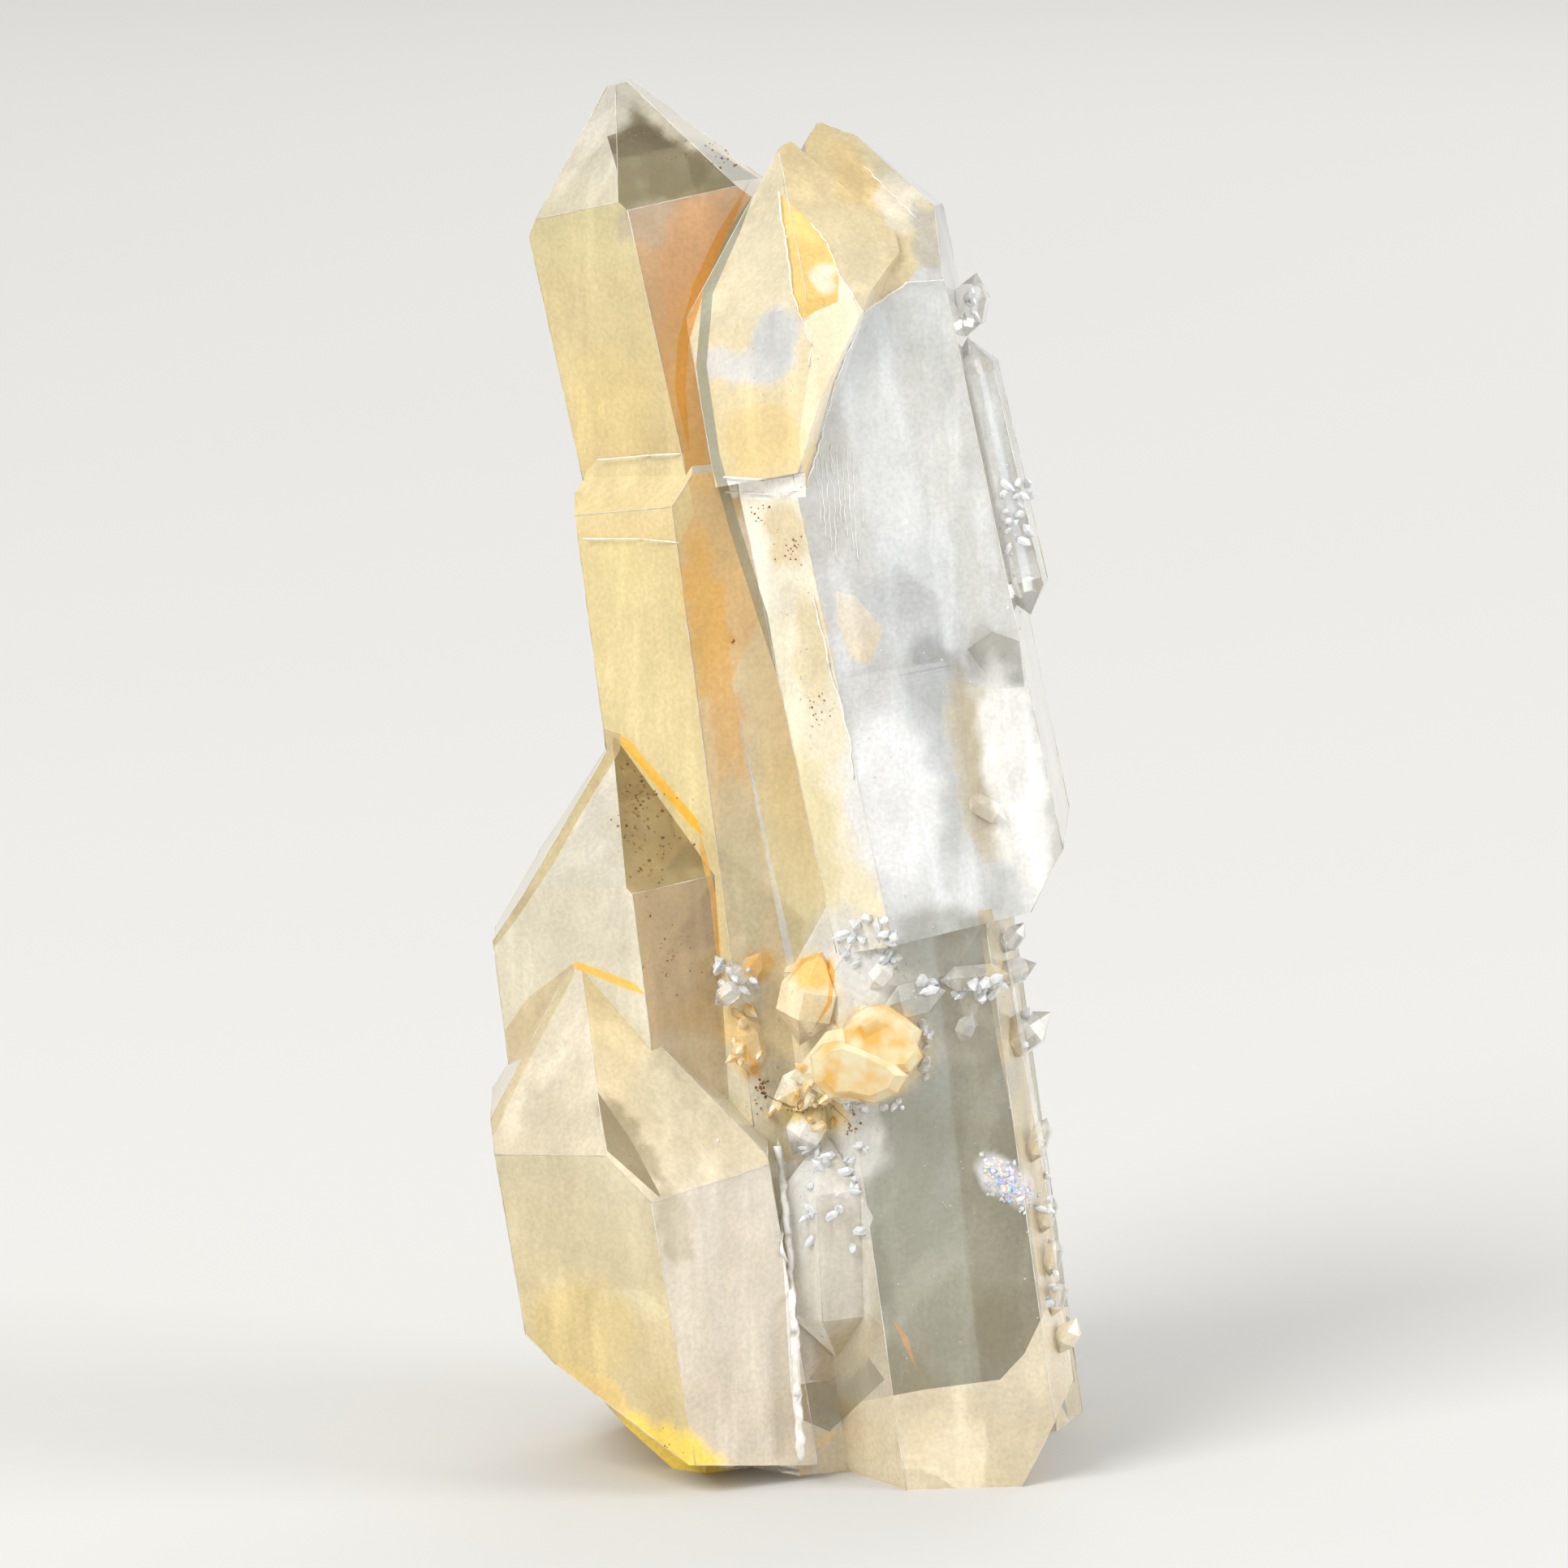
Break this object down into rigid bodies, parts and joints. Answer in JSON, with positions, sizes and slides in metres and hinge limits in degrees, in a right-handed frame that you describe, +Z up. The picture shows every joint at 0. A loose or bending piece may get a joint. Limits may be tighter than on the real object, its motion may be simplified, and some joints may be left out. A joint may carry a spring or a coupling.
{
  "type": "faden quartz crystal cluster",
  "caption": "Free-standing cluster of long, sub-parallel pointed quartz crystals grown together, clear to milky with amber iron stain, on a flat cut base.",
  "frame": {"origin": "middle of the cluster's bounding box, on the plane of its flat cut base", "axes": "+Z up along the long crystals, -Y towards the front that the picture shows, +X to the viewer's right"},
  "size_m": [0.0296, 0.0248, 0.0678],
  "materials": {
    "quartz": "clear to milky, iron-stained amber, natural crystal faces"
  },
  "bodies": {
    "root": {"quartz_cluster": "quartz"}
  },
  "joints": []
}
